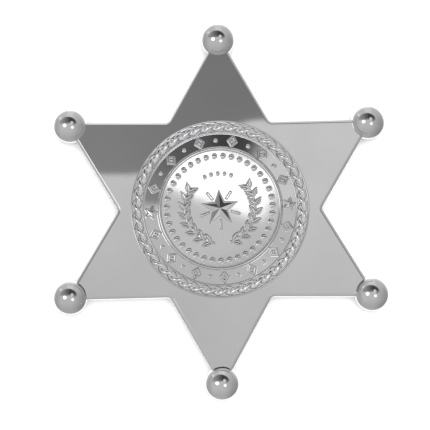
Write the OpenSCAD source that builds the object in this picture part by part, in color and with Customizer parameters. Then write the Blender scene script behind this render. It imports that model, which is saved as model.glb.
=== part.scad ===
// Six-pointed star badge with ball tips and a round seal, lying on its back, face up.
// Origin: on the surface under the middle of the badge. +Y runs up the badge, +Z out of its face.

/* [Star] */
// Radius of the circle through the centres of the six balls
ball_ring_radius = 34; // [32:0.5:38]
// How far past a ball's centre the sides of a point would meet
point_overrun = 1; // [0.6:0.1:1.6]
// Distance from the centre to the notch between two points
notch_radius = 19.9; // [19.4:0.1:20.8]
// Fillet in each notch
notch_fillet = 1; // [0.6:0.1:1.4]
// Thickness of the star
star_thickness = 1.6; // [1.3:0.1:2]
// Width of the rounded shoulder along the front edges
shoulder_width = 0.9; // [0.6:0.1:1.1]
// Drop of the rounded shoulder at the edge
shoulder_drop = 0.45; // [0.3:0.05:0.55]
// Angle of the faint crease where the shoulder leaves the face
shoulder_crease = 7; // [5:1:12]

/* [Balls] */
// Diameter of each ball
ball_diameter = 6.6; // [6:0.1:7.6]
// Gap all round a point inside its ball's slot
slot_gap = 0.05; // [0.04:0.01:0.1]

/* [Seal] */
// Diameter of the seal
seal_diameter = 35; // [34.4:0.1:35.6]
// Gap between the star's face and the seal's back
seal_gap = 0.05; // [0.03:0.01:0.1]
// Turn of the seal from upright, anticlockwise as seen from the front
seal_turn = 3; // [-10:1:10]
// Thickness of the seal under the rope
seal_floor = 0.5; // [0.4:0.05:0.8]
// Width of the plain rim on each side of the rope
rim_width = 0.35; // [0.25:0.05:0.45]
// Height of those rims above the rope's groove
rim_rise = 0.55; // [0.4:0.05:0.8]
// Radius of the middle of the raised ring inside the ornament band
ring_radius = 11.8; // [11.5:0.1:12]
// Width of that ring
ring_width = 0.7; // [0.5:0.1:0.9]
// Height of that ring above the rope's groove
ring_rise = 0.95; // [0.85:0.05:1.1]
// Height of the band's outer edge above the rope's groove
band_low = 0.15; // [0.05:0.05:0.25]
// Height of the band's inner edge above the rope's groove
band_high = 0.65; // [0.55:0.05:0.75]
// Height of the field inside the ring above the rope's groove
field_rise = 0.3; // [0.2:0.05:0.4]

/* [Rope] */
// Width of the twisted rope
rope_width = 1.8; // [1.6:0.05:1.95]
// Height of the rope's middle above its groove
rope_lift = 0.15; // [0.1:0.05:0.3]
// Number of twists seen round the rope
rope_twists = 43; // [38:1:48]
// Gap round the rope in its groove
rope_gap = 0.05; // [0.03:0.01:0.08]

/* [Ornament] */
// Number of beads inside the ring
bead_count = 39; // [34:1:42]
// Diameter of each bead
bead_diameter = 0.9; // [0.7:0.05:1]
// Radius of the circle of beads
bead_ring_radius = 10.35; // [10.1:0.05:10.5]
// Height of the flat ornament above the metal round it
relief = 0.3; // [0.2:0.05:0.4]
// Radius of the small stars at the sides of the band
side_star_radius = 1.25; // [0.9:0.05:1.3]
// Number of lozenges on the upper half of the band
upper_lozenges = 6; // [4:1:6]
// Number of lozenges on the lower half of the band
lower_lozenges = 7; // [4:1:7]
// Length of a lozenge across the band
lozenge_length = 2.3; // [1.8:0.1:2.4]
// Width of a lozenge along the band
lozenge_width = 1.9; // [1.5:0.1:2.2]
// Width of the raised line round a lozenge
line_width = 0.4; // [0.3:0.05:0.45]
// Diameter of the studs in and between the lozenges
stud_diameter = 0.6; // [0.4:0.05:0.7]
// Radius of the star in the middle
centre_star_radius = 3.6; // [3:0.1:3.9]
// Height of the middle star's peak above the field
centre_star_rise = 0.6; // [0.5:0.05:0.75]
// Radius of the two wreath branches
wreath_radius = 6.9; // [6.6:0.1:7.1]
// Number of leaf pairs on each branch
leaf_pairs = 8; // [6:1:9]
// Length of a wreath leaf
leaf_length = 1.9; // [1.6:0.1:2.1]
// Width of a wreath leaf
leaf_width = 0.75; // [0.6:0.05:0.85]

/* [Pin] */
// Length of the pin's base strip
strip_length = 30; // [26:1:32]
// Width of the base strip
strip_width = 5; // [4:0.5:6]
// Thickness of the base strip
strip_thickness = 0.5; // [0.4:0.05:0.6]
// Height of the base strip's middle above the badge's centre
strip_y = 4; // [0:1:5]
// Diameter of the pin's wire
wire_diameter = 0.8; // [0.7:0.05:0.9]
// Room for cloth between the wire and the strip
cloth_gap = 0.5; // [0.4:0.05:0.6]
// Gap between the base strip and the star's back
strip_gap = 0.05; // [0.03:0.01:0.1]

/* [Hidden] */
$fn = 72;
POINTS = 6;
STAR_POINTS = 5;
SPREAD = 1;
SMALL_FN = 24;
METAL = "silver";

star_middle_z = ball_diameter / 2;
star_back_z = star_middle_z - star_thickness / 2;
star_face_z = star_middle_z + star_thickness / 2;

point_step = 360 / POINTS;
point_radius = ball_ring_radius + point_overrun;
notch_x = notch_radius * cos(point_step / 2);
notch_y = notch_radius * sin(point_step / 2);
point_half_angle = atan(notch_y / (point_radius - notch_x));
notch_half_angle = point_step / 2 + point_half_angle;
fillet_centre = notch_radius + notch_fillet / sin(notch_half_angle);
fillet_fan = 180 - 2 * notch_half_angle;
fillet_steps = 5;
shoulder_steps = 4;
shoulder_chord = norm([shoulder_width, shoulder_drop]);
shoulder_bend = atan(shoulder_drop / shoulder_width) - shoulder_crease;
shoulder_radius = shoulder_chord / (2 * sin(shoulder_bend));
shoulder_centre_x = -shoulder_width - shoulder_radius * sin(shoulder_crease);
shoulder_centre_z = star_face_z - shoulder_radius * cos(shoulder_crease);

seal_radius = seal_diameter / 2;
seal_back_z = star_face_z + seal_gap;
groove_outer = seal_radius - rim_width;
groove_inner = groove_outer - rope_width - 2 * rope_gap;
band_outer = groove_inner - rim_width;
band_middle = (band_outer + ring_radius + ring_width / 2) / 2;
band_slope = atan((band_high - band_low) / (band_outer - ring_radius));
band_middle_z = seal_floor + (band_high + band_low) / 2;
field_z = seal_floor + field_rise;

side_star_span = 2 * asin((side_star_radius + line_width) / band_middle);
half_band = 180 - side_star_span;

strip_top_z = star_back_z - strip_gap;
strip_bottom_z = strip_top_z - strip_thickness;
wire_z = strip_bottom_z - cloth_gap - wire_diameter / 2;
catch_bottom_z = wire_z - wire_diameter / 2;
wire_ends_x = strip_length / 2 - strip_width / 2;

steps_per_twist = 6;
step_twist = 180 / steps_per_twist;
rope_steps = rope_twists * steps_per_twist;
rope_arc_points = 9;
rope_middle_radius = (groove_outer + groove_inner) / 2;
rope_strand_offset = 0.21 * rope_width;
rope_strand_radius = rope_width / 2 - rope_strand_offset;

// Corners of a star with the points and notches on two circles, first point up
function star_corners(outer, inner, points) = [
    for (i = [0 : 2 * points - 1])
        let (r = i % 2 == 0 ? outer : inner, a = 90 + i * 180 / points) [r * cos(a), r * sin(a)]
];

// Reach of two round strands twisted together, in a direction measured from their line
function strand_reach(a) = rope_strand_offset * abs(cos(a))
    + sqrt(pow(rope_strand_radius, 2) - pow(rope_strand_offset * sin(a), 2));

// Section of the rope at a step round the badge: an arc over the top, then two flat feet
function rope_section(turn, step) = [
    for (j = [0 : rope_arc_points - 1])
        let (a = 180 * j / (rope_arc_points - 1), reach = strand_reach(a + step * step_twist))
            rope_point(turn, reach * cos(a), rope_lift + reach * sin(a)),
    rope_point(turn, -strand_reach(step * step_twist), rope_gap),
    rope_point(turn, strand_reach(step * step_twist), rope_gap)
];

function rope_point(turn, across, up) = [
    (rope_middle_radius + across) * cos(turn), (rope_middle_radius + across) * sin(turn), up
];

// Section of the shoulder, in flats from the face to the side: X is outward from the edge, Y is up
function shoulder_point(i, gap) =
    let (a = shoulder_crease + i * 2 * shoulder_bend / shoulder_steps, reach = shoulder_radius + gap)
        [shoulder_centre_x + reach * sin(a), shoulder_centre_z + reach * cos(a)];

// Outline of the star, set in from its edge: for each point its tip, then the fillet after it
function star_outline(inset) = [
    for (i = [0 : POINTS - 1], j = [-1 : fillet_steps])
        let (
            turn = 90 + (j < 0 ? i : i + 0.5) * point_step,
            a = 180 + fillet_fan / 2 - j * fillet_fan / fillet_steps,
            r = notch_fillet + inset,
            x = j < 0 ? point_radius - inset / sin(point_half_angle) : fillet_centre + r * cos(a),
            y = j < 0 ? 0 : r * sin(a)
        ) [x * cos(turn) - y * sin(turn), x * sin(turn) + y * cos(turn)]
];

// The star: outlines stacked from its back to its face
module star_plate() {
    sections = concat(
        [[0, star_back_z]],
        [for (i = [shoulder_steps : -1 : 0]) shoulder_point(i, 0)]
    );
    around = len(star_outline(0));
    top = (len(sections) - 1) * around;
    back_middle = len(sections) * around;
    face_middle = back_middle + 1;
    points = concat(
        [for (c = sections) each [for (p = star_outline(-c[0])) [p[0], p[1], c[1]]]],
        [[0, 0, star_back_z], [0, 0, star_face_z]]
    );
    faces = concat(
        [for (j = [0 : around - 1]) [back_middle, j, (j + 1) % around]],
        [
            for (i = [0 : len(sections) - 2], j = [0 : around - 1])
                let (here = i * around, next = here + around, k = (j + 1) % around)
                    [here + j, next + j, next + k, here + k]
        ],
        [for (j = [0 : around - 1]) [face_middle, top + (j + 1) % around, top + j]]
    );
    color(METAL) polyhedron(points, faces);
}

// What the shoulder takes off the slot's front edges
module shoulder_waste() {
    run_on = 2;
    first = shoulder_point(0, slot_gap);
    last = shoulder_point(shoulder_steps, slot_gap);
    start = first + run_on * (first - shoulder_point(1, slot_gap));
    end = last + run_on * (last - shoulder_point(shoulder_steps - 1, slot_gap));
    polygon(concat(
        [start], [for (i = [1 : shoulder_steps - 1]) shoulder_point(i, slot_gap)], [end],
        [[end[0], star_face_z + SPREAD], [start[0], star_face_z + SPREAD]]
    ));
}

// The slot that a point on +X fits: the point's own form, grown by the gap
module point_slot() {
    start_x = ball_ring_radius - ball_diameter;
    tip_x = point_radius + slot_gap / sin(point_half_angle);
    start_y = (tip_x - start_x) * tan(point_half_angle);
    difference() {
        translate([0, 0, star_back_z - slot_gap])
            linear_extrude(star_thickness + 2 * slot_gap)
                polygon([[start_x, -start_y], [tip_x, 0], [start_x, start_y]]);
        for (side = [0, 1])
            mirror([0, side, 0])
                translate([point_radius, 0, 0])
                    rotate([90, 0, 90 - point_half_angle])
                        linear_extrude(2 * point_radius, center = true) shoulder_waste();
    }
}

// One ball, slotted over a point; place counts anticlockwise from the top
module ball(place) {
    color(METAL) rotate([0, 0, 90 + place * point_step]) difference() {
        translate([ball_ring_radius, 0, star_middle_z]) sphere(d = ball_diameter);
        point_slot();
    }
}

// A ring of the seal's section, flat at the sides and round on top
module ring_section(inner, width, height) {
    translate([inner, 0]) square([width, height - width / 2]);
    translate([inner + width / 2, height - width / 2]) circle(d = width, $fn = SMALL_FN);
}

// The seal's section, from its axis outward, standing on its back
module seal_section() {
    square([seal_radius - rim_width / 2, seal_floor]);
    square([ring_radius, field_z]);
    ring_section(groove_outer, rim_width, seal_floor + rim_rise);
    ring_section(band_outer, rim_width, seal_floor + rim_rise);
    ring_section(ring_radius - ring_width / 2, ring_width, seal_floor + ring_rise);
    polygon([
        [ring_radius, 0], [band_outer + rim_width / 2, 0],
        [band_outer + rim_width / 2, seal_floor + band_low], [band_outer, seal_floor + band_low],
        [ring_radius, seal_floor + band_high]
    ]);
}

// Puts ornament on the band's slope at an angle round it, its foot sunk in the metal
module on_band(angle) {
    rotate([0, 0, angle])
        translate([band_middle, 0, band_middle_z])
            rotate([0, band_slope, 0])
                translate([0, 0, -relief]) children();
}

// A hollow lozenge with a stud in the middle
module lozenge() {
    half_length = lozenge_length / 2;
    half_width = lozenge_width / 2;
    shape = [[half_length, 0], [0, half_width], [-half_length, 0], [0, -half_width]];
    corner = atan(lozenge_width / lozenge_length);
    hole = 1 - 2 * line_width / (lozenge_length * sin(corner));
    linear_extrude(2 * relief) difference() {
        polygon(shape);
        polygon(hole * shape);
    }
    stud();
}

module stud() {
    translate([0, 0, relief]) sphere(d = stud_diameter, $fn = SMALL_FN);
}

// Lozenges spread evenly over half the band, with a stud between each two
module lozenge_arc(count, middle_angle) {
    step = half_band / count;
    for (i = [0 : count - 1])
        on_band(middle_angle + (i - (count - 1) / 2) * step) lozenge();
    for (i = [1 : count - 1])
        on_band(middle_angle + (i - count / 2) * step) stud();
}

// A pointed leaf along +X from its foot
module leaf() {
    arc_radius = (pow(leaf_length, 2) + pow(leaf_width, 2)) / (4 * leaf_width);
    linear_extrude(2 * relief) intersection() {
        translate([leaf_length / 2, arc_radius - leaf_width / 2]) circle(r = arc_radius);
        translate([leaf_length / 2, leaf_width / 2 - arc_radius]) circle(r = arc_radius);
    }
}

// The right branch of the wreath: a thin stem from the foot, with leaves on both sides
module branch() {
    foot_angle = -78;
    reach = 118;
    splay = 38;
    step = reach / leaf_pairs;
    foot_z = field_z - relief;
    translate([0, 0, foot_z]) rotate([0, 0, foot_angle]) rotate_extrude(angle = reach)
        translate([wreath_radius - line_width / 2, 0]) square([line_width, 2 * relief]);
    for (i = [0 : leaf_pairs - 1])
        for (side = [-1, 1])
            rotate([0, 0, foot_angle + (i + 0.4) * step])
                translate([wreath_radius, 0, foot_z])
                    rotate([0, 0, 90 + side * splay]) leaf();
}

// A five-pointed star with sloping facets that meet in a peak
module centre_star() {
    corners = star_corners(centre_star_radius, 0.42 * centre_star_radius, STAR_POINTS);
    count = len(corners);
    foot_z = field_z - relief;
    edge_z = field_z + relief / 3;
    peak_z = field_z + centre_star_rise;
    points = concat(
        [for (c = corners) [c[0], c[1], foot_z]],
        [for (c = corners) [c[0], c[1], edge_z]],
        [[0, 0, peak_z], [0, 0, foot_z]]
    );
    faces = concat(
        [for (i = [0 : count - 1]) [2 * count + 1, i, (i + 1) % count]],
        [for (i = [0 : count - 1]) [i, i + count, (i + 1) % count + count, (i + 1) % count]],
        [for (i = [0 : count - 1]) [i + count, 2 * count, (i + 1) % count + count]]
    );
    polyhedron(points, faces);
}

// Small bars between the middle star's points, and studs over the wreath's opening
module rays() {
    ray_start = 0.62 * centre_star_radius;
    ray_length = 0.5 * centre_star_radius;
    for (i = [0 : STAR_POINTS - 1])
        rotate([0, 0, 90 + (i + 0.5) * 360 / STAR_POINTS])
            translate([ray_start, -line_width / 2, field_z - relief])
                cube([ray_length, line_width, 2 * relief]);
    crown_studs = 5;
    crown_step = 11;
    for (i = [0 : crown_studs - 1])
        rotate([0, 0, 90 + (i - (crown_studs - 1) / 2) * crown_step])
            translate([wreath_radius, 0, field_z]) sphere(d = stud_diameter, $fn = SMALL_FN);
}

module beads() {
    for (i = [0 : bead_count - 1])
        rotate([0, 0, i * 360 / bead_count])
            translate([bead_ring_radius, 0, field_z])
                sphere(d = bead_diameter, $fn = SMALL_FN);
}

module seal() {
    color(METAL) translate([0, 0, seal_back_z]) rotate([0, 0, seal_turn]) {
        rotate_extrude() seal_section();
        beads();
        lozenge_arc(upper_lozenges, 90);
        lozenge_arc(lower_lozenges, 270);
        for (angle = [0, 180])
            on_band(angle) rotate([0, 0, 90 - angle]) linear_extrude(2 * relief)
                polygon(star_corners(side_star_radius, 0.5 * side_star_radius, STAR_POINTS));
        centre_star();
        rays();
        branch();
        mirror([1, 0, 0]) branch();
    }
}

module rope_border() {
    around = rope_arc_points + 2;
    points = [
        for (i = [0 : rope_steps - 1])
            each rope_section(-i * 360 / rope_steps, i)
    ];
    faces = [
        for (i = [0 : rope_steps - 1], j = [0 : around - 1])
            let (
                here = i * around, next = ((i + 1) % rope_steps) * around, k = (j + 1) % around
            ) each [[here + j, here + k, next + j], [here + k, next + k, next + j]]
    ];
    color(METAL) translate([0, 0, seal_back_z + seal_floor]) polyhedron(points, faces);
}

// The pin in one plain piece: base strip, wire, and the two ends that hold the wire
module pin_back() {
    end_width = 2.5 * wire_diameter;
    end_length = 1.5 * wire_diameter;
    strip_middle_z = strip_bottom_z + strip_thickness / 2;
    color(METAL) union() {
        translate([-wire_ends_x, strip_y - strip_width / 2, strip_bottom_z])
            cube([2 * wire_ends_x, strip_width, strip_thickness]);
        for (side = [-1, 1])
            translate([side * wire_ends_x, strip_y, strip_bottom_z])
                cylinder(h = strip_thickness, d = strip_width);
        for (side = [-1, 1])
            translate([side * wire_ends_x - end_length / 2, strip_y - end_width / 2, catch_bottom_z])
                cube([end_length, end_width, strip_middle_z - catch_bottom_z]);
        translate([-wire_ends_x, strip_y, wire_z])
            rotate([0, 90, 0]) cylinder(h = 2 * wire_ends_x, d = wire_diameter);
    }
}

star_plate();
ball(0);  // ball_top
ball(1);  // ball_upper_left
ball(2);  // ball_lower_left
ball(3);  // ball_bottom
ball(4);  // ball_lower_right
ball(5);  // ball_upper_right
seal();
rope_border();
pin_back();
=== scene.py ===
import math
import bpy
import numpy as np
from mathutils import Matrix, Vector


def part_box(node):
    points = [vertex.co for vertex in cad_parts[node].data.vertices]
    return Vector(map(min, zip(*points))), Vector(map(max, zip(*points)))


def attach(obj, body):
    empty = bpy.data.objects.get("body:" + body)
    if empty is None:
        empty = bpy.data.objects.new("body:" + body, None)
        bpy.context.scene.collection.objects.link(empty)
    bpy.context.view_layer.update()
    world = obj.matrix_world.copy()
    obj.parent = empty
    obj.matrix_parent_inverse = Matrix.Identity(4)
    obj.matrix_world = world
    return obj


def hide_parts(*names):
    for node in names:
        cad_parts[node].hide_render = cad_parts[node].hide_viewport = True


# Looks of a six-pointed star badge with ball tips, on a pale floor
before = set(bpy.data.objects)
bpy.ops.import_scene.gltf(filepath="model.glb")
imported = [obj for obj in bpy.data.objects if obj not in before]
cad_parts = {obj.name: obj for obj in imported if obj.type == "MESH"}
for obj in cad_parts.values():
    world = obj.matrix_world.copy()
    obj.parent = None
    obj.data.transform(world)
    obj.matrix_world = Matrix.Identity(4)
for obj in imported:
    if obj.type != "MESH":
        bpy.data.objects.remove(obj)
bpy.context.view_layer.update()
MM = 0.001

plate_low, plate_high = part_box("star_plate")
ball_low, ball_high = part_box("ball_top")
seal_low, seal_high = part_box("seal")

# Plate and balls, in metres
POINTS = 6
PLACES = ["top", "upper_left", "lower_left", "bottom", "lower_right", "upper_right"]
point_radius = plate_high.y
plate_back = plate_low.z
plate_face = plate_high.z
NOTCH_RADIUS = 19.9 * MM
NOTCH_FILLET = 1.0 * MM
SHOULDER_WIDTH = 0.52 * MM
SHOULDER_DROP = 0.34 * MM
SHOULDER_CREASE = math.radians(17)
BACK_ROUNDING = 0.12 * MM
SLOT_GAP = 0.05 * MM
BALL_INSET = 0.005 * MM
solid_ball_radius = (ball_high.z - ball_low.z) / 2
ball_radius = solid_ball_radius - BALL_INSET
ball_ring = ball_high.y - solid_ball_radius
ball_middle = (ball_high.z + ball_low.z) / 2

# Seal and rope, in millimetres. Rises are over the seal's floor, which is over its back
SEAL_TURN = math.radians(3)
SEAL_RADIUS = (seal_high.y - seal_low.y) / 2 / MM
SEAL_FLOOR = 0.5
RIM_WIDTH = 0.35
RIM_RISE = 0.55
RING_RADIUS = 11.8
RING_WIDTH = 0.7
RING_RISE = 0.95
BAND_LOW = 0.15
BAND_HIGH = 0.65
FIELD_EDGE = 0.4
FIELD_SPHERE = 350.0
ROPE_WIDTH = 1.8
ROPE_GAP = 0.05
ROPE_LIFT = 0.15
ROPE_TWISTS = 43
RELIEF = 0.3
SOFT_EDGE = 0.12
LINE_EDGE = 0.16
CENTRE_STAR_RADIUS = 3.6
BEAD_RING = 10.35
BEAD_SIZE = 0.5
BEADS = 39
WREATH_RADIUS = 6.9
GROOVE_OUTER = round(SEAL_RADIUS, 3) - RIM_WIDTH
GROOVE_INNER = GROOVE_OUTER - ROPE_WIDTH - 2 * ROPE_GAP
BAND_OUTER = GROOVE_INNER - RIM_WIDTH
BAND_INNER = RING_RADIUS + RING_WIDTH / 2
BAND_MIDDLE = (BAND_OUTER + RING_RADIUS + RING_WIDTH / 2) / 2
FIELD_RADIUS = RING_RADIUS - RING_WIDTH / 2


def new_object(name, vertices, faces):
    mesh = bpy.data.meshes.new(name)
    mesh.from_pydata(vertices, [], faces)
    mesh.update()
    thing = bpy.data.objects.new(name, mesh)
    bpy.context.scene.collection.objects.link(thing)
    return thing


def smooth(thing, crease_degrees):
    mesh = thing.data
    mesh.polygons.foreach_set("use_smooth", [True] * len(mesh.polygons))
    mesh.set_sharp_from_angle(angle=math.radians(crease_degrees))


def finish_piece(thing, nodes, material):
    thing.data.materials.clear()
    thing.data.materials.append(material)
    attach(thing, "root")
    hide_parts(*nodes)


# Star plate

def star_outline(inset, steps=14):
    """Corners of the star, set in from its edge: each tip, then the fillet of the next notch."""
    half_step = math.pi / POINTS
    notch = Vector((NOTCH_RADIUS * math.cos(half_step), NOTCH_RADIUS * math.sin(half_step)))
    half_tip = math.atan2(notch.y, point_radius - notch.x)
    half_gap = half_step + half_tip
    centre = NOTCH_RADIUS + NOTCH_FILLET / math.sin(half_gap)
    fan = math.pi - 2 * half_gap
    corners = []
    for i in range(POINTS):
        tip_turn = math.pi / 2 + i * 2 * half_step
        tip = point_radius - inset / math.sin(half_tip)
        corners.append((tip * math.cos(tip_turn), tip * math.sin(tip_turn)))
        notch_turn = tip_turn + half_step
        for j in range(steps + 1):
            a = math.pi + fan / 2 - j * fan / steps
            r = NOTCH_FILLET + inset
            x, y = centre + r * math.cos(a), r * math.sin(a)
            corners.append((
                x * math.cos(notch_turn) - y * math.sin(notch_turn),
                x * math.sin(notch_turn) + y * math.cos(notch_turn),
            ))
    return corners


def star_sections(grow, steps=12):
    """Insets and heights from the back to the face, the shoulder as an arc, grown by a gap."""
    chord = math.hypot(SHOULDER_WIDTH, SHOULDER_DROP)
    bend = math.atan2(SHOULDER_DROP, SHOULDER_WIDTH) - SHOULDER_CREASE
    radius = chord / (2 * math.sin(bend))
    centre_x = -SHOULDER_WIDTH - radius * math.sin(SHOULDER_CREASE)
    centre_z = plate_face - radius * math.cos(SHOULDER_CREASE)
    back = []
    for k in range(4):
        a = k * math.pi / 6
        back.append((
            BACK_ROUNDING * (1 - math.sin(a)) - grow,
            plate_back + BACK_ROUNDING * (1 - math.cos(a)) - grow,
        ))
    front = []
    for k in range(steps + 1):
        a = SHOULDER_CREASE + (steps - k) * 2 * bend / steps
        x = centre_x + (radius + grow) * math.sin(a)
        front.append((-x, centre_z + (radius + grow) * math.cos(a)))
    return back + front


def star_mesh(name, grow):
    sections = star_sections(grow)
    vertices = []
    for inset, z in sections:
        vertices += [(x, y, z) for x, y in star_outline(inset)]
    around = len(vertices) // len(sections)
    faces = [list(range(around))[::-1]]
    for i in range(len(sections) - 1):
        here = i * around
        for j in range(around):
            k = (j + 1) % around
            faces.append([here + j, here + k, here + around + k, here + around + j])
    top = (len(sections) - 1) * around
    faces.append([top + j for j in range(around)])
    return new_object(name, vertices, faces)


def cut(thing, cutter):
    """Takes the cutter out of a piece for good, and removes the cutter."""
    modifier = thing.modifiers.new("cut", "BOOLEAN")
    modifier.operation = "DIFFERENCE"
    modifier.solver = "EXACT"
    modifier.object = cutter
    bpy.context.view_layer.update()
    graph = bpy.context.evaluated_depsgraph_get()
    mesh = bpy.data.meshes.new_from_object(thing.evaluated_get(graph))
    thing.modifiers.clear()
    thing.data = mesh
    bpy.data.objects.remove(cutter)


# Balls

def ball_mesh(name, centre, radius, meridians=96, parallels=64):
    vertices = [(centre.x, centre.y, centre.z - radius)]
    for i in range(1, parallels):
        a = math.pi * i / parallels
        for j in range(meridians):
            b = 2 * math.pi * j / meridians
            vertices.append((
                centre.x + radius * math.sin(a) * math.cos(b),
                centre.y + radius * math.sin(a) * math.sin(b),
                centre.z - radius * math.cos(a),
            ))
    vertices.append((centre.x, centre.y, centre.z + radius))
    faces = []
    for j in range(meridians):
        k = (j + 1) % meridians
        faces.append([0, 1 + k, 1 + j])
        last = 1 + (parallels - 2) * meridians
        faces.append([len(vertices) - 1, last + j, last + k])
        for i in range(parallels - 2):
            here = 1 + i * meridians
            faces.append([here + j, here + k, here + meridians + k, here + meridians + j])
    return new_object(name, vertices, faces)


def round_normals(thing, centre, radius):
    """Normals of a true ball on the ball's own faces, and flat ones in its slot."""
    mesh = thing.data
    mesh.polygons.foreach_set("use_smooth", [True] * len(mesh.polygons))
    normals = [None] * len(mesh.loops)
    for face in mesh.polygons:
        outward = [(mesh.vertices[v].co - centre) for v in face.vertices]
        on_ball = all(abs(o.length - radius) < 0.01 * radius for o in outward)
        on_ball = on_ball and face.normal.dot((face.center - centre).normalized()) > 0.9
        for loop, o in zip(face.loop_indices, outward):
            normals[loop] = o.normalized() if on_ball else face.normal.copy()
    mesh.normals_split_custom_set(normals)


# Rope

def rope_mesh(name, steps_per_twist=16, arc=28):
    """Two round strands twisted together, closed below by a flat foot in the groove."""
    offset = 0.21 * ROPE_WIDTH  # of each strand from the rope's middle
    strand = ROPE_WIDTH / 2 - offset
    middle = SEAL_RADIUS - RIM_WIDTH - ROPE_GAP - ROPE_WIDTH / 2
    floor_z = seal_low.z / MM + SEAL_FLOOR
    count = ROPE_TWISTS * steps_per_twist

    def reach(a):
        return offset * abs(math.cos(a)) + math.sqrt(strand ** 2 - (offset * math.sin(a)) ** 2)

    vertices = []
    for i in range(count):
        turn = -2 * math.pi * i / count
        twist = math.pi * i / steps_per_twist
        row = []
        for j in range(arc + 1):
            a = math.pi * j / arc
            r = reach(a + twist)
            row.append((r * math.cos(a), ROPE_LIFT + r * math.sin(a)))
        row.append((-reach(twist), ROPE_GAP))
        row.append((reach(twist), ROPE_GAP))
        for across, up in row:
            r = middle + across
            place = (r * math.cos(turn), r * math.sin(turn), floor_z + up)
            vertices.append(tuple(c * MM for c in place))
    around = arc + 3
    faces = []
    for i in range(count):
        here, there = i * around, ((i + 1) % count) * around
        for j in range(around):
            k = (j + 1) % around
            faces.append([here + j, here + k, there + k, there + j])
    return new_object(name, vertices, faces)


# Seal: a height over a round grid, in millimetres

def inside(distance, edge=SOFT_EDGE):
    """1 inside a shape and 0 outside, with a soft edge round distance 0."""
    t = np.clip(0.5 - distance / edge, 0, 1)
    return t * t * (3 - 2 * t)


def cap(distance, size, rise):
    """A low round cap of a true ball."""
    ball = (size ** 2 + rise ** 2) / (2 * rise)
    return np.sqrt(ball ** 2 - np.minimum(distance, size) ** 2) - (ball - rise)


def rounded_bar(r, inner, outer, floor, top):
    """A ring of the section: straight sides, round top."""
    half = (outer - inner) / 2
    across = np.clip(np.abs(r - (inner + outer) / 2) / half, 0, 1)
    return np.where(
        (r >= inner) & (r <= outer), top - half * (1 - np.sqrt(1 - across ** 2 * 0.98)), floor
    )


def polygon_distance(x, y, corners):
    """Distance to a polygon's edge, negative inside."""
    best = np.full(x.shape, 1e9)
    within = np.zeros(x.shape, bool)
    for (ax, ay), (bx, by) in zip(corners, corners[1:] + corners[:1]):
        ex, ey = bx - ax, by - ay
        t = np.clip(((x - ax) * ex + (y - ay) * ey) / (ex * ex + ey * ey), 0, 1)
        best = np.minimum(best, np.hypot(x - ax - t * ex, y - ay - t * ey))
        crosses = ((ay > y) != (by > y)) & (x < (bx - ax) * (y - ay) / (by - ay + 1e-12) + ax)
        within ^= crosses
    return np.where(within, -best, best)


def star_corners(outer, inner):
    corners = []
    for i in range(10):
        r = outer if i % 2 == 0 else inner
        a = math.pi / 2 + i * math.pi / 5
        corners.append((r * math.cos(a), r * math.sin(a)))
    return corners


def field_height(r):
    """The slightly dished field, a part of a large sphere."""
    rise = np.sqrt(FIELD_SPHERE ** 2 - r ** 2) - math.sqrt(FIELD_SPHERE ** 2 - FIELD_RADIUS ** 2)
    return SEAL_FLOOR + FIELD_EDGE - rise


def base_height(r):
    """The seal without its ornament: groove, sloping band, field, and the rings between them."""
    z = np.full(r.shape, SEAL_FLOOR)
    run = BAND_OUTER - RING_RADIUS
    band = SEAL_FLOOR + BAND_HIGH + (BAND_LOW - BAND_HIGH) * (r - RING_RADIUS) / run
    z = np.where((r > RING_RADIUS) & (r < GROOVE_INNER), band, z)
    z = np.where(r <= RING_RADIUS, field_height(np.minimum(r, FIELD_RADIUS + 0.05)), z)
    for inner, outer, rise in (
        (GROOVE_OUTER, SEAL_RADIUS, RIM_RISE),
        (BAND_OUTER, GROOVE_INNER, RIM_RISE),
        (FIELD_RADIUS, BAND_INNER, RING_RISE),
    ):
        z = np.maximum(z, rounded_bar(r, inner, outer, 0, SEAL_FLOOR + rise))
    return z


def local(x, y, radius, turn):
    """Coordinates about a place on the seal: outward from the middle, and anticlockwise."""
    c, s = math.cos(turn), math.sin(turn)
    return x * c + y * s - radius, -x * s + y * c


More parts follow.
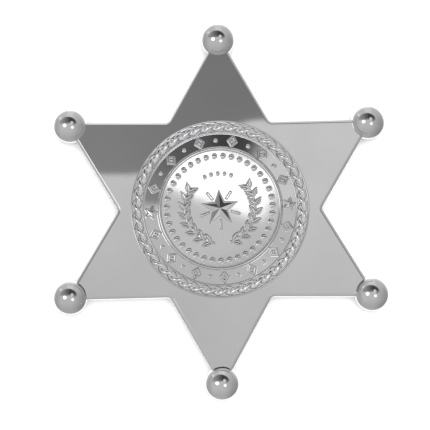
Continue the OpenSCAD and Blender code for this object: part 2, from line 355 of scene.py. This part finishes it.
def ornament_height(x, y):
    """Everything that stands up from the seal's surface."""
    h = np.zeros(x.shape)

    def add(mask, value):
        h[mask] = np.maximum(h[mask], value)

    def near(radius, turn, size):
        u, v = local(x, y, radius, turn)
        mask = np.hypot(u, v) < size
        return u[mask], v[mask], mask

    def stud(radius, turn, size=0.36, rise=0.22):
        u, v, mask = near(radius, turn, size)
        add(mask, cap(np.hypot(u, v), size, rise))

    # Band: lozenges and studs above and below, with a small star between at each side
    star_room, wide, high = 1.65, 1.9, 2.3
    half_band = math.pi - 2 * math.asin(star_room / BAND_MIDDLE)
    for count, middle in ((6, math.pi / 2), (7, 3 * math.pi / 2)):
        step = half_band / count
        for i in range(count):
            turn = middle + (i - (count - 1) / 2) * step
            u, v, mask = near(BAND_MIDDLE, turn, 1.6)
            d = (np.abs(u) * wide + np.abs(v) * high - 0.5 * wide * high) / math.hypot(wide, high)
            add(mask, RELIEF * inside(np.abs(d + 0.2) - 0.2, LINE_EDGE))
            stud(BAND_MIDDLE, turn)
            if i:
                stud(BAND_MIDDLE, turn - step / 2)
    for turn in (0, math.pi):
        u, v, mask = near(BAND_MIDDLE, turn, 1.7)
        side = 1 if turn == 0 else -1
        d = polygon_distance(-v * side, u * side, star_corners(1.25, 0.6))
        add(mask, RELIEF * inside(d, LINE_EDGE) * (0.75 + 0.25 * np.clip(-d / 0.4, 0, 1)))

    for i in range(BEADS):
        stud(BEAD_RING, i * 2 * math.pi / BEADS, BEAD_SIZE, 0.24)

    # Wreath: a stem and pairs of leaves up each side, and five studs in its opening
    foot, sweep, pairs = math.radians(-78), math.radians(118), 8
    leaf_length, leaf_width, leaf_turn = 1.9, 0.42, math.radians(38)
    for mirror in (1, -1):
        mx = x * mirror
        r, a = np.hypot(mx, y), np.arctan2(y, mx)
        along = (a - foot) % (2 * math.pi)
        stem = (along < sweep) & (np.abs(r - WREATH_RADIUS) < 0.4)
        value = 0.24 * inside(np.abs(r - WREATH_RADIUS) - 0.17)
        add(stem, value[stem])
        for i in range(pairs):
            turn = foot + (i + 0.4) * sweep / pairs
            for side in (-1, 1):
                heading = turn + math.pi / 2 + side * leaf_turn
                ox, oy = WREATH_RADIUS * math.cos(turn), WREATH_RADIUS * math.sin(turn)
                p = (mx - ox) * math.cos(heading) + (y - oy) * math.sin(heading)
                q = -(mx - ox) * math.sin(heading) + (y - oy) * math.cos(heading)
                mask = (p > -0.1) & (p < 2.0) & (np.abs(q) < 0.6)
                t = np.clip(p[mask] / leaf_length, 0, 1)
                d = np.abs(q[mask]) - leaf_width * np.sin(math.pi * t ** 0.85)
                rib = 1 - 0.35 * inside(np.abs(q[mask]) - 0.04, 0.1)
                add(mask, RELIEF * inside(d) * rib)
    for i in range(5):
        stud(WREATH_RADIUS, math.pi / 2 + (i - 2) * math.radians(11))

    # Faceted star in the middle, with a short ray in each of its notches
    r, a = np.hypot(x, y), np.arctan2(y, x)
    sector = 2 * math.pi / 5
    folded = np.abs((a - math.pi / 2 + sector / 2) % sector - sector / 2)
    outer, inner = CENTRE_STAR_RADIUS, 0.42 * CENTRE_STAR_RADIUS
    u, v = r * np.cos(folded), r * np.sin(folded)
    ex, ey = inner * math.cos(sector / 2) - outer, inner * math.sin(sector / 2)
    d = ((u - outer) * ey - v * ex) / math.hypot(ex, ey)
    depth = -outer * ey / math.hypot(ex, ey)
    facet = np.clip(d / depth, 0, 1)
    mask = (r < outer + 0.2) & (d < 0.15)
    add(mask, (0.1 + 0.5 * facet[mask]) * inside(d[mask] + 0.02))
    for i in range(5):
        turn = math.pi / 2 + (i + 0.5) * sector
        u, v, mask = near(0.87 * CENTRE_STAR_RADIUS, turn, 1.3)
        add(mask, RELIEF * inside(np.maximum(np.abs(u) - 0.9, np.abs(v) - 0.2)))
    return h


def spread(start, end, count):
    return list(np.linspace(start, end, count, endpoint=False))


def seal_mesh(name, around=760):
    """The seal as one closed skin: a round grid for its face, its edge and a flat back. The
    grid's rings run inwards, and within coarse_radius they have half as many points."""
    coarse_radius = 6.0
    steps = spread(SEAL_RADIUS - 0.002, GROOVE_OUTER, 9) + [GROOVE_OUTER + 0.004]
    steps += [GROOVE_OUTER - 0.01, GROOVE_INNER + 0.01]
    steps += spread(GROOVE_INNER, BAND_OUTER, 9) + [BAND_OUTER + 0.004]
    steps += spread(BAND_OUTER - 0.01, BAND_INNER + 0.02, 28)
    steps += spread(BAND_INNER, FIELD_RADIUS, 12) + [FIELD_RADIUS + 0.004]
    steps += spread(FIELD_RADIUS - 0.02, coarse_radius, 42)
    inner_steps = spread(coarse_radius, 0.06, 48)
    angles = np.arange(around) * 2 * np.pi / around
    rings = [(r, angles) for r in steps] + [(r, angles[::2]) for r in inner_steps]
    xs = np.concatenate([r * np.cos(a) for r, a in rings] + [[0.0]])
    ys = np.concatenate([r * np.sin(a) for r, a in rings] + [[0.0]])
    zs = base_height(np.hypot(xs, ys)) + ornament_height(xs, ys)
    c, s = math.cos(SEAL_TURN), math.sin(SEAL_TURN)
    px, py = (xs * c - ys * s) * MM, (xs * s + ys * c) * MM
    pz = seal_low.z + zs * MM
    vertices = list(zip(px.tolist(), py.tolist(), pz.tolist()))
    faces = []
    starts = np.cumsum([0] + [len(a) for _, a in rings]).tolist()
    for i in range(len(rings) - 1):
        here, there = starts[i], starts[i + 1]
        n, m = len(rings[i][1]), len(rings[i + 1][1])
        if n == m:
            for j in range(n):
                k = (j + 1) % n
                faces.append([here + j, here + k, there + k, there + j])
        else:
            for j in range(m):
                a, b, e = here + 2 * j, here + 2 * j + 1, here + (2 * j + 2) % n
                k = (j + 1) % m
                faces += [[a, b, there + j], [b, e, there + k], [b, there + k, there + j]]
    last, centre = starts[-2], len(vertices) - 1
    n = len(rings[-1][1])
    for j in range(n):
        faces.append([last + j, last + (j + 1) % n, centre])
    rim = len(vertices)
    edge_radius = SEAL_RADIUS * MM
    for z in (seal_low.z + (SEAL_FLOOR + RIM_RISE - RIM_WIDTH / 2) * MM, seal_low.z):
        for a in angles + SEAL_TURN:
            vertices.append((edge_radius * math.cos(a), edge_radius * math.sin(a), z))
    for j in range(around):
        k = (j + 1) % around
        faces.append([rim + j, rim + k, k, j])
        faces.append([rim + around + j, rim + around + k, rim + k, rim + j])
    faces.append([rim + around + j for j in range(around)][::-1])
    return new_object(name, vertices, faces)


# Materials

def plated_metal(name, colour, roughness, grain_mm, scratch, wave_mm):
    """Bright plating: fine bloom in the roughness, faint clouds in the tone, hair scratches."""
    material = bpy.data.materials.new(name)
    material.use_nodes = True
    nodes, links = material.node_tree.nodes, material.node_tree.links
    shader = nodes["Principled BSDF"]
    shader.inputs["Metallic"].default_value = 1.0
    place = nodes.new("ShaderNodeTexCoord")

    def noise(scale, detail, rough=0.5):
        node = nodes.new("ShaderNodeTexNoise")
        node.inputs["Scale"].default_value = scale
        node.inputs["Detail"].default_value = detail
        node.inputs["Roughness"].default_value = rough
        links.new(place.outputs["Object"], node.inputs["Vector"])
        return node

    def spread_to(source, low, high, start=0.3, stop=0.7):
        node = nodes.new("ShaderNodeMapRange")
        node.inputs["From Min"].default_value = start
        node.inputs["From Max"].default_value = stop
        node.inputs["To Min"].default_value = low
        node.inputs["To Max"].default_value = high
        links.new(source, node.inputs["Value"])
        return node.outputs["Result"]

    cloud = noise(90, 4)
    tint = nodes.new("ShaderNodeMix")
    tint.data_type = "RGBA"
    tint.inputs["A"].default_value = (*[0.955 * c for c in colour], 1)
    tint.inputs["B"].default_value = (*[min(1.02 * c, 1) for c in colour], 1)
    links.new(spread_to(cloud.outputs["Fac"], 0, 1), tint.inputs["Factor"])
    links.new(tint.outputs["Result"], shader.inputs["Base Color"])

    grain = noise(1 / (grain_mm * MM), 5, 0.6)
    bloom = spread_to(grain.outputs["Fac"], 0.75 * roughness, 1.5 * roughness)
    links.new(bloom, shader.inputs["Roughness"])

    stretch = nodes.new("ShaderNodeMapping")
    stretch.inputs["Scale"].default_value = (1, 14, 1)
    stretch.inputs["Rotation"].default_value = (0, 0, math.radians(28))
    links.new(place.outputs["Object"], stretch.inputs["Vector"])
    hair = nodes.new("ShaderNodeTexNoise")
    hair.inputs["Scale"].default_value = 260
    hair.inputs["Detail"].default_value = 6
    links.new(stretch.outputs["Vector"], hair.inputs["Vector"])
    line = spread_to(hair.outputs["Fac"], 0, 1, 0.62, 0.7)
    mix = nodes.new("ShaderNodeMath")
    mix.operation = "MULTIPLY_ADD"
    mix.inputs[1].default_value = -scratch
    links.new(line, mix.inputs[0])
    links.new(grain.outputs["Fac"], mix.inputs[2])
    relief = nodes.new("ShaderNodeBump")
    relief.inputs["Strength"].default_value = 0.12
    relief.inputs["Distance"].default_value = wave_mm * MM
    links.new(mix.outputs["Value"], relief.inputs["Height"])
    links.new(relief.outputs["Normal"], shader.inputs["Normal"])
    return material


star_metal = plated_metal("star_metal", (0.76, 0.76, 0.77), 0.018, 0.25, 0.4, 0.0012)
ball_metal = plated_metal("ball_metal", (0.78, 0.78, 0.79), 0.05, 0.3, 0.2, 0.01)
seal_metal = plated_metal("seal_metal", (0.77, 0.77, 0.78), 0.07, 0.2, 0.2, 0.008)
rope_metal = plated_metal("rope_metal", (0.94, 0.94, 0.95), 0.06, 0.2, 0.2, 0.01)
pin_metal = plated_metal("pin_metal", (0.66, 0.66, 0.67), 0.26, 0.15, 0.8, 0.02)

# Pieces

star = star_mesh("star_body", 0)
smooth(star, 5)
finish_piece(star, ["star_plate"], star_metal)

for index, place_name in enumerate(PLACES):
    angle = math.pi / 2 + index * 2 * math.pi / POINTS
    centre = Vector((ball_ring * math.cos(angle), ball_ring * math.sin(angle), ball_middle))
    ball = ball_mesh("round_" + place_name, centre, ball_radius)
    cut(ball, star_mesh("slot_" + place_name, SLOT_GAP))
    round_normals(ball, centre, ball_radius)
    finish_piece(ball, ["ball_" + place_name], ball_metal)

seal = seal_mesh("struck_seal")
smooth(seal, 50)
finish_piece(seal, ["seal"], seal_metal)

rope = rope_mesh("twisted_rope")
smooth(rope, 60)
finish_piece(rope, ["rope_border"], rope_metal)

# The pin keeps the solid's own shape
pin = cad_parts["pin_back"]
pin.data.materials.clear()
pin.data.materials.append(pin_metal)

# Floor, light and camera

floor = new_object("floor", [(-3, -3, 0), (3, -3, 0), (3, 3, 0), (-3, 3, 0)], [[0, 1, 2, 3]])
floor_material = bpy.data.materials.new("floor")
floor_material.use_nodes = True
floor_shader = floor_material.node_tree.nodes["Principled BSDF"]
floor_shader.inputs["Base Color"].default_value = (0.9, 0.9, 0.9, 1)
floor_shader.inputs["Roughness"].default_value = 0.9
floor.data.materials.append(floor_material)
floor.visible_glossy = False


# The camera's turn against the badge: a tilt up, a slight tilt across and a slight roll
view_turn = Matrix.Identity(4)
for degrees, axis in ((0.7, "Z"), (-7.4, "X"), (-0.17, "Y")):
    view_turn = view_turn @ Matrix.Rotation(math.radians(degrees), 4, axis)

STUDIO_RADIUS = 17


def studio():
    """A soft grey studio. Its tones are laid out as a polished ball shows them from the front:
    x and y run across and up the ball, and the ball's radius is STUDIO_RADIUS."""
    world = bpy.data.worlds.new("studio")
    bpy.context.scene.world = world
    world.use_nodes = True
    nodes, links = world.node_tree.nodes, world.node_tree.links
    back = nodes["Background"]
    back.inputs["Color"].default_value = (1, 1, 1, 1)
    place = nodes.new("ShaderNodeTexCoord")

    def vector_node(operation, a, b=None):
        node = nodes.new("ShaderNodeVectorMath")
        node.operation = operation
        links.new(a, node.inputs[0])
        if b is not None:
            node.inputs[1].default_value = b
        return node.outputs["Value" if operation == "DOT_PRODUCT" else "Vector"]

    def calc(operation, *values):
        node = nodes.new("ShaderNodeMath")
        node.operation = operation
        for i, value in enumerate(values):
            if isinstance(value, (int, float)):
                node.inputs[i].default_value = value
            else:
                links.new(value, node.inputs[i])
        return node.outputs["Value"]

    def ramp(value, start, stop, low=0, high=1):
        node = nodes.new("ShaderNodeMapRange")
        node.interpolation_type = "SMOOTHSTEP"
        for socket, number in (
            ("From Min", start), ("From Max", stop), ("To Min", low), ("To Max", high)
        ):
            node.inputs[socket].default_value = number
        links.new(value, node.inputs["Value"])
        return node.outputs["Result"]

    def distance(cx, cy, rx=1, ry=1):
        dx = calc("MULTIPLY", calc("SUBTRACT", x, cx), 1 / rx)
        dy = calc("MULTIPLY", calc("SUBTRACT", y, cy), 1 / ry)
        return calc("SQRT", calc("ADD", calc("MULTIPLY", dx, dx), calc("MULTIPLY", dy, dy)))

    to_world = view_turn.to_3x3().inverted()
    viewer = to_world @ Vector((0, 0, 1))
    half = vector_node("NORMALIZE", vector_node("ADD", place.outputs["Generated"], viewer))
    across = vector_node("DOT_PRODUCT", half, to_world @ Vector((1, 0, 0)))
    up = vector_node("DOT_PRODUCT", half, to_world @ Vector((0, 1, 0)))
    x = calc("MULTIPLY", across, STUDIO_RADIUS)
    y = calc("MULTIPLY", up, STUDIO_RADIUS)

    # Walls: lighter above, greyer to the right, at the far left and below
    light = ramp(y, -13, -3, 0.48, 0.6)
    sheen = calc("MULTIPLY", ramp(x, 1.5, 5, 0.14, 0), ramp(x, -5, -1.5))
    sheen = calc("MULTIPLY", sheen, ramp(calc("MULTIPLY_ADD", x, 0.2, y), 1.3, 3.0))
    light = calc("ADD", light, sheen)
    side = calc("MULTIPLY", ramp(x, 0, 16, 0, 0.27), ramp(y, -2, 13, 1, 0.2))
    light = calc("SUBTRACT", light, side)
    light = calc("SUBTRACT", light, ramp(x, -14, -8, 0.16, 0))

    # Dark card: an arch above, cut off below by a stepped edge, deepest up and to the right
    deep = calc("MULTIPLY", ramp(y, 2.95, 4.6), ramp(x, -7.5, -0.5))
    tone = calc("MULTIPLY_ADD", deep, -0.17, 0.232)
    tone = calc("ADD", tone, calc("ADD", ramp(x, -9, -4, 0.04, 0), ramp(x, -0.8, 0, 0.045, 0)))
    arch = ramp(distance(-1.5, 1.6, 9.1, 8.1), 0.88, 1.04, 1, 0)
    foot = calc("SUBTRACT", y, ramp(x, -0.5, 0.15, 2.377, 2.637))
    blur = calc("MULTIPLY_ADD", calc("MAXIMUM", calc("SUBTRACT", -2.5, x), 0), 0.5, 0.03)
    above = ramp(calc("DIVIDE", foot, blur), -0.5, 0.5)
    blob = ramp(distance(4.8, 3.3), 1.5, 2.5, 1, 0)
    card = calc("MULTIPLY", arch, calc("MAXIMUM", above, blob))
    light = calc("ADD", light, calc("MULTIPLY", card, calc("SUBTRACT", tone, light)))

    # Window beside the card's edge, two lamps, a patch, the light wall low above, and the bright
    # ground, which stands for the floor in reflections
    window = ramp(distance(2.3, 3.4), 0.9, 2.0, 1, 0)
    light = calc("ADD", light, calc("MULTIPLY", window, calc("SUBTRACT", 0.74, light)))
    for cx, cy, near_edge, far_edge, glow in (
        (-5.0, 0.55, 1.45, 2.05, 1.4), (2.9, -1.5, 1.1, 1.75, 0.9), (-9.6, 7.8, 0.5, 2.2, 0.28)
    ):
        light = calc("ADD", light, ramp(distance(cx, cy), near_edge, far_edge, glow, 0))
    edge = calc("MULTIPLY", ramp(distance(0, 0), 13.5, 16.5), ramp(y, -4, 5))
    light = calc("MULTIPLY_ADD", edge, 0.3, light)
    light = calc("ADD", light, ramp(distance(0, 0), 15.6, 16.8, 0, 1.1))
    links.new(light, back.inputs["Strength"])


studio()


def area_lamp(name, place_mm, toward, along, size_mm, energy, spread_degrees=180):
    """A lamp of a given size that shines toward a direction, its first side along another."""
    data = bpy.data.lights.new(name, "AREA")
    data.shape = "RECTANGLE"
    data.size, data.size_y = [s * MM for s in size_mm]
    data.energy = energy
    data.spread = math.radians(spread_degrees)
    lamp = bpy.data.objects.new(name, data)
    back = -Vector(toward).normalized()
    side = (Vector(along) - Vector(along).dot(back) * back).normalized()
    turn = Matrix((side, back.cross(side), back)).transposed().to_4x4()
    lamp.matrix_world = Matrix.Translation(Vector(place_mm) * MM) @ turn
    lamp.visible_camera = False
    bpy.context.scene.collection.objects.link(lamp)
    return lamp


key = area_lamp("key", (100, 100, 1200), (0, 0, -1), (1, 0, 0), (1100, 1100), 20)
key.visible_glossy = False

# A small lamp close over the seal, which only the upper half of its field mirrors to the camera
area_lamp("seal_lamp", (-0.6, 15.3, 85), (0, 0, -1), (1, -0.4, 0), (18, 7.5), 0.000017, 20)

PICTURE_WIDTH = 430


def add_camera():
    """The photograph's view: from a little below the badge's foot, almost straight down."""
    distance = 350 * MM
    pixels_per_mm = 5.099
    # The badge's middle lies this far right of the picture's middle, and over it
    off_x, off_y = 0.985 * MM, 1.164 * MM
    shift = Matrix.Translation((off_x, off_y, -distance))
    face = Matrix.Translation((0, 0, -plate_face))
    data = bpy.data.cameras.new("camera")
    data.sensor_width = 36
    data.lens = data.sensor_width * pixels_per_mm * (distance / MM) / PICTURE_WIDTH
    data.clip_start = 0.01
    data.clip_end = 20
    camera = bpy.data.objects.new("camera", data)
    camera.matrix_world = (shift @ view_turn @ face).inverted()
    bpy.context.scene.collection.objects.link(camera)
    bpy.context.scene.camera = camera


add_camera()
bpy.context.scene.view_settings.view_transform = "Standard"
